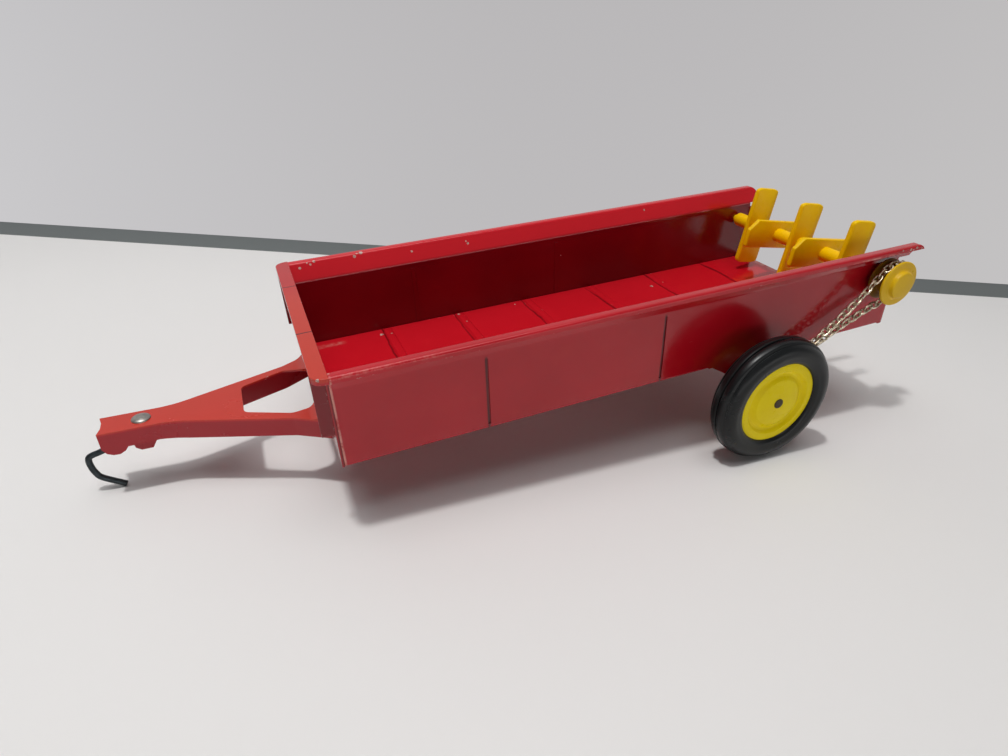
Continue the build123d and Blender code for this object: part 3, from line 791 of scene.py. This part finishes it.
def pulley(name, boss, centre, body, node):
    """Grooved pulley on the left-hand side, with or without its outer boss."""
    flange, low_flange, bottom, boss_r = 8.8, 8.2, 5.4, 5.4
    rows = [
        (PIN_R, PULLEY_IN, 0), (low_flange, PULLEY_IN, 0.3), (low_flange, GROOVE_IN - 0.3, 0.3),
        (bottom, GROOVE_IN + 0.3, 0.5), (bottom, GROOVE_OUT - 0.3, 0.5),
        (flange, GROOVE_OUT + 0.15, 0.35), (flange, PULLEY_OUT, 0.45)]
    if boss:
        top = PULLEY_OUT + 2.0
        rows += [(boss_r + 1.0, PULLEY_OUT, 0.6), (boss_r, PULLEY_OUT + 0.25, 0.4),
                 (boss_r - 0.2, top, 0.8), (0, top, 0), (0, top - 1.2, 0), (PIN_R, top - 1.2, 0)]
    else:
        rows += [(PIN_R, PULLEY_OUT, 0)]
    bm = bmesh.new()
    revolve(bm, rounded(rows), 80, centre=centre, side=LEFT)
    bmesh.ops.remove_doubles(bm, verts=bm.verts, dist=1e-5)
    finish_mesh(name, bm, yellow_pulley, body, (node,), 35)


tyres()
wheels()
axle()
pulley("axle_pulley", False, (0, 0), "running_gear", "drive_pulley")
pulley("tail_pulley", True, (ROLL.x, ROLL.z), "beater_roll", "beater_pulley")

# ---------------------------------------------------------------- beater
PADDLE_LONG, PADDLE_WIDE, PADDLE_HALF, PADDLE_PITCH = 35.6, 12.5, 1.1, 13.65
PADDLE_CUT = (4.1, 4.6)                  # the cut corner of a cross paddle, along and down
BEATER_LEAN = radians(11.0)
SHAFT_R, SHAFT_END = 3.1, 40.0
JOURNAL_LEFT, JOURNAL_RIGHT = -53.0, 43.9


def paddle_outline(upright, inset):
    """Outline of a paddle's face, drawn in by inset.

    Upright ones have arched ends; the cross ones have one cut corner at each end.
    """
    a, b = PADDLE_LONG / 2 - inset, PADDLE_WIDE / 2 - inset
    if upright:
        half = rounded([(0, -a, 0), (b * 0.6, -a, 1.5), (b, -a + 0.7, 1.8), (b, a - 0.7, 1.8),
                        (b * 0.6, a, 1.5), (0, a, 0)])
        return half + [(-x, z) for x, z in reversed(half)][1:-1]
    along, down = (size - 0.41 * inset for size in PADDLE_CUT)
    half = rounded([(a, 0, 0), (a, b, 1.2), (-a + along, b, 0.9), (-a, b - down, 0.9), (-a, 0, 0)])
    return half + [(-x, -z) for x, z in half][1:-1]


def paddle(bm, y, upright):
    """One flat paddle with its edges softened."""
    faces = ((0.0, 0.42), (0.12, 0.18), (0.42, 0.0))     # (in from the face, inset)
    layers = [(deep - PADDLE_HALF, inset) for deep, inset in faces]
    layers += [(PADDLE_HALF - deep, inset) for deep, inset in reversed(faces)]
    rings = [[bm.verts.new((x, y + dy, z)) for x, z in paddle_outline(upright, inset)]
             for dy, inset in layers]
    for lower, upper in zip(rings, rings[1:]):
        join_rings(bm, lower, upper)
    bm.faces.new(rings[0])
    bm.faces.new(rings[-1])


def beater():
    """One moulding: a round shaft with five flat paddles, each a quarter turn from the next."""
    bm = bmesh.new()
    for k in range(-2, 3):
        paddle(bm, k * PADDLE_PITCH, k % 2 == 0)
    shaft = rounded([(1.2, -SHAFT_END, 0), (SHAFT_R, -SHAFT_END, 1.3), (SHAFT_R, SHAFT_END, 1.3),
                     (1.2, SHAFT_END, 0)], 5)
    revolve(bm, [(0, -SHAFT_END)] + shaft + [(0, SHAFT_END)], 48, closed=False)
    revolve(bm, [(0, JOURNAL_LEFT), (PIN_R, JOURNAL_LEFT), (PIN_R, JOURNAL_RIGHT - 0.2),
                 (PIN_R - 0.2, JOURNAL_RIGHT), (0, JOURNAL_RIGHT)], 32, closed=False)
    turned = Matrix.Translation(ROLL) @ Matrix.Rotation(BEATER_LEAN, 4, "Y")
    finish_mesh("paddle_beater", bm, yellow_beater, "beater_roll", ("beater",), 40,
                TOY @ turned)


beater()

# ---------------------------------------------------------------- chain
LINK_PITCH = 2.8
LINK_WIRE = 0.85                         # thickness of a link's wire
LINK_WIDTH = 3.3
LINK_PLAY = 0.14
WRAP_R = 7.1                             # radius of the chain round both pulleys
CHAIN_Y = -(GROOVE_IN + GROOVE_OUT) / 2
SLACK_TOP, SLACK_LOW = radians(18.0), radians(50.0)      # the slack upper run's turn at its ends
LOWER_BOW = 7.5                          # the lower run is stiff with age and bows up half of this


def chain_stations(steps=400):
    """Evenly spaced joints of the links round both pulleys, and the distance between two."""
    lie = atan2(ROLL.z, ROLL.x)
    tail, wheel = Vector((ROLL.x, ROLL.z)), Vector((0, 0))

    def rim(centre, angle):
        return centre + WRAP_R * Vector((cos(angle), sin(angle)))

    top, low = lie + pi / 2, lie - pi / 2
    over = [rim(tail, low + (pi + SLACK_TOP) * k / steps) for k in range(steps)]
    start, stop = rim(tail, top + SLACK_TOP), rim(wheel, top - SLACK_LOW)
    # the tangents at both ends of the slack run meet at its control point
    a, b = lie + SLACK_TOP, lie - SLACK_LOW
    run = stop - start
    reach = (run.x * sin(b) - run.y * cos(b)) / (cos(a) * sin(b) - sin(a) * cos(b))
    slack = bow(start, start + reach * Vector((cos(a), sin(a))), stop, steps)[:-1]
    under = [rim(wheel, top - SLACK_LOW + (pi + SLACK_LOW) * k / steps) for k in range(steps)]
    out, home = rim(wheel, low), rim(tail, low)
    middle = (out + home) / 2 + LOWER_BOW * Vector((-sin(lie), cos(lie)))
    route = over + slack + under + bow(out, middle, home, steps)[:-1]

    legs = [(q - p).length for p, q in zip(route, route[1:] + route[:1])]
    total = sum(legs)
    count = 2 * ceil(total / LINK_PITCH / 2)
    stations, walked, k = [], 0.0, 0
    for p, leg, q in zip(route, legs, route[1:] + route[:1]):
        while k < count and walked + leg >= k * total / count - 1e-9:
            stations.append(p + (k * total / count - walked) / leg * (q - p))
            k += 1
        walked += leg
    return stations, total / count


def chain():
    """Closed loop of wire links; every second one stands on edge in its neighbours."""
    stations, step = chain_stations()
    wire = LINK_WIRE / 2
    bend = LINK_WIDTH / 2 - wire
    straight = (step + LINK_PLAY) / 2 + wire - bend
    path = [(end * (straight + bend * cos(a)), end * bend * sin(a), 0)
            for end in (1, -1) for a in (radians(-90 + 22.5 * k) for k in range(9))]
    bm = bmesh.new()
    for k, (x, z) in enumerate(stations):
        x1, z1 = stations[(k + 1) % len(stations)]
        turn = atan2(z1 - z, x1 - x)
        wobble = radians(random.uniform(-14, 14))
        place = (Matrix.Translation(((x + x1) / 2, CHAIN_Y, (z + z1) / 2))
                 @ Matrix.Rotation(-turn, 4, "Y")
                 @ Matrix.Rotation(radians(90 * (k % 2)) + wobble, 4, "X"))
        link = bmesh.new()
        tube(link, path, wire, 8, closed=True)
        bmesh.ops.transform(link, matrix=place, verts=link.verts)
        bmesh.ops.recalc_face_normals(link, faces=link.faces)
        mesh = bpy.data.meshes.new("link")
        link.to_mesh(mesh)
        link.free()
        bm.from_mesh(mesh)
        bpy.data.meshes.remove(mesh)
    finish_mesh("link_chain", bm, chain_steel, "box", ("drive_chain",), 60)


chain()

# ---------------------------------------------------------------- camera
CAMERA = Vector((-0.09623, -0.20542, 0.14565))
HEADING = radians(23.789)                # to the right of +Y
DIP = radians(29.845)                    # below level
TILT = radians(2.421)                    # about its own line of sight
camera = bpy.data.objects.new("camera", bpy.data.cameras.new("camera"))
camera.matrix_world = (Matrix.Translation(CAMERA) @ Matrix.Rotation(-HEADING, 4, "Z")
                       @ Matrix.Rotation(radians(90) - DIP, 4, "X") @ Matrix.Rotation(TILT, 4, "Z"))
camera.data.sensor_width = 36
camera.data.lens = 22.871
camera.data.clip_start = 0.01
bpy.context.scene.collection.objects.link(camera)
bpy.context.scene.camera = camera

# ---------------------------------------------------------------- floor and backdrop
LEFT_FAR = Vector((-0.2448, 0.3215, 0))  # two points of the floor's straight far edge
RIGHT_FAR = Vector((0.3432, 0.0186, 0))
FLOOR_DEPTH = 1.35                       # the floor ends short of the front lamp
FLOOR_WING = 1.5                         # how far it runs on past both points
BACK_WING = 3.0                          # how far the dark gap and the backdrop do
GAP_LEFT, GAP_RIGHT = 0.06, 0.05         # depth of the gap at its two ends
BACK_AWAY = 0.038                        # floor's edge to the foot of the backdrop
BACK_DROP = Vector((0, 0, -0.004))       # gap and backdrop start a little below the floor
BACK_HIGH = Vector((0, 0, 1.6))


def plain(name, color, rough):
    """One plain colour with a faint slow change."""
    n = Nodes(name)
    dimmer = tuple(c * 0.975 for c in color[:3]) + (1,)
    shade = n.mix(n.ramp(n.noise(3, 3, 0.5, 81), 0.3, 0.7), color, dimmer)
    return n.set(shade, rough, spec=0.2)


def backdrop_painted_glow():
    """Pale grey that glows evenly for the camera and in gloss as painted light, with painted shade
    a little darker behind the toy.
    """
    n = Nodes("backdrop_grey")
    n.set((0.60, 0.595, 0.60, 1), 0.85, spec=0.2)
    split = n.new("ShaderNodeSeparateXYZ")
    n.link(n.coords, split.inputs[0])
    x = n.math("ADD", split.outputs[0], n.ramp(n.noise(2, 2, 0.5, 83), 0.2, 0.8, -0.04, 0.04))
    tone = n.mix(n.ramp(x, -0.50, 0.10), (0.590, 0.585, 0.600, 1), (0.482, 0.470, 0.478, 1))
    tone = n.mix(n.ramp(x, 0.12, 0.62), tone, (0.540, 0.530, 0.528, 1))
    glow = n.new("ShaderNodeEmission")
    n.link(tone, glow.inputs["Color"])
    n.link(n.ramp(split.outputs[2], 0.0, 0.30, 1.06, 0.98), glow.inputs["Strength"])
    rays = n.new("ShaderNodeLightPath").outputs
    either = n.new("ShaderNodeMixShader")
    n.link(n.most(rays["Is Camera Ray"], rays["Is Glossy Ray"], rays["Is Transmission Ray"]),
           either.inputs[0])
    n.link(n.shader.outputs[0], either.inputs[1])
    n.link(glow.outputs[0], either.inputs[2])
    n.link(either.outputs[0], n.out.inputs["Surface"])
    return n.material


def flat(name, corners, material):
    """Flat four-cornered piece of the stage."""
    mesh = bpy.data.meshes.new(name)
    mesh.from_pydata([tuple(c) for c in corners], [], [tuple(range(len(corners)))])
    mesh.materials.append(material)
    obj = bpy.data.objects.new(name, mesh)
    bpy.context.scene.collection.objects.link(obj)


# The floor's far edge runs slantwise behind the toy; a gap, a dark grey sheet of painted shade, and
# then the backdrop lie beyond it.
along = (RIGHT_FAR - LEFT_FAR).normalized()
beyond = Vector((-along.y, along.x, 0))
left, right = LEFT_FAR - along * FLOOR_WING, RIGHT_FAR + along * FLOOR_WING
flat("floor_sheet", (left, right, right - beyond * FLOOR_DEPTH, left - beyond * FLOOR_DEPTH),
     plain("paper_white", (0.800, 0.790, 0.780, 1), 0.6))
left, right = LEFT_FAR - along * BACK_WING + BACK_DROP, RIGHT_FAR + along * BACK_WING + BACK_DROP
# the gap's dark grey sheet is painted shade where the floor drops away
flat("painted_shade_gap_strip", (left, right, right + beyond * GAP_RIGHT, left + beyond * GAP_LEFT),
     plain("painted_shade_gap", (0.16, 0.175, 0.175, 1), 0.8))
left, right = left + beyond * BACK_AWAY, right + beyond * BACK_AWAY
flat("backdrop", (left, right, right - BACK_DROP + BACK_HIGH, left - BACK_DROP + BACK_HIGH),
     backdrop_painted_glow())

# ---------------------------------------------------------------- light
ROOM_LIGHT = 0.07                        # the room's plain light
ROOM_SEEN, ROOM_IN_GLOSS = 0.58, 0.22    # how bright the camera sees it, and the gloss
world = bpy.data.worlds.new("studio")
bpy.context.scene.world = world
world.use_nodes = True
tree = world.node_tree
sky = tree.nodes["Background"]
sky.inputs["Color"].default_value = (0.97, 0.98, 1.0, 1)
rays = tree.nodes.new("ShaderNodeLightPath").outputs
strength = None
for ray, level in (("Is Camera Ray", ROOM_SEEN), ("Is Glossy Ray", ROOM_IN_GLOSS),
                   ("Is Transmission Ray", ROOM_SEEN)):
    add = tree.nodes.new("ShaderNodeMath")
    add.operation = "MULTIPLY_ADD"
    tree.links.new(rays[ray], add.inputs[0])
    add.inputs[1].default_value = level - ROOM_LIGHT
    if strength is None:
        add.inputs[2].default_value = ROOM_LIGHT
    else:
        tree.links.new(strength, add.inputs[2])
    strength = add.outputs[0]
tree.links.new(strength, sky.inputs["Strength"])


def lamp(name, place, target, size, watts, color):
    """Rectangular lamp turned towards its target."""
    data = bpy.data.lights.new(name, "AREA")
    data.shape = "RECTANGLE"
    data.size, data.size_y = size
    data.energy = watts
    data.color = color
    obj = bpy.data.objects.new(name, data)
    obj.location = place
    obj.rotation_euler = (Vector(target) - Vector(place)).to_track_quat("-Z", "Y").to_euler()
    bpy.context.scene.collection.objects.link(obj)


# a small lamp above the drawbar gives the shadow's edge; broad ones overhead and in front fill in
lamp("overhead", (-0.22, -0.07, 0.90), (-0.19, -0.06, 0.0), (0.055, 0.055), 3.6, (1.0, 0.99, 0.975))
lamp("ceiling", (-0.05, 0.10, 1.70), (0.05, 0.0, 0.0), (1.5, 1.5), 17.5, (0.985, 0.99, 1.0))
lamp("front", (0.15, -1.80, 0.27), (0.0, 0.0, 0.06), (3.0, 0.44), 7.6, (1.0, 0.99, 0.98))

scene = bpy.context.scene
scene.view_settings.view_transform = "Standard"
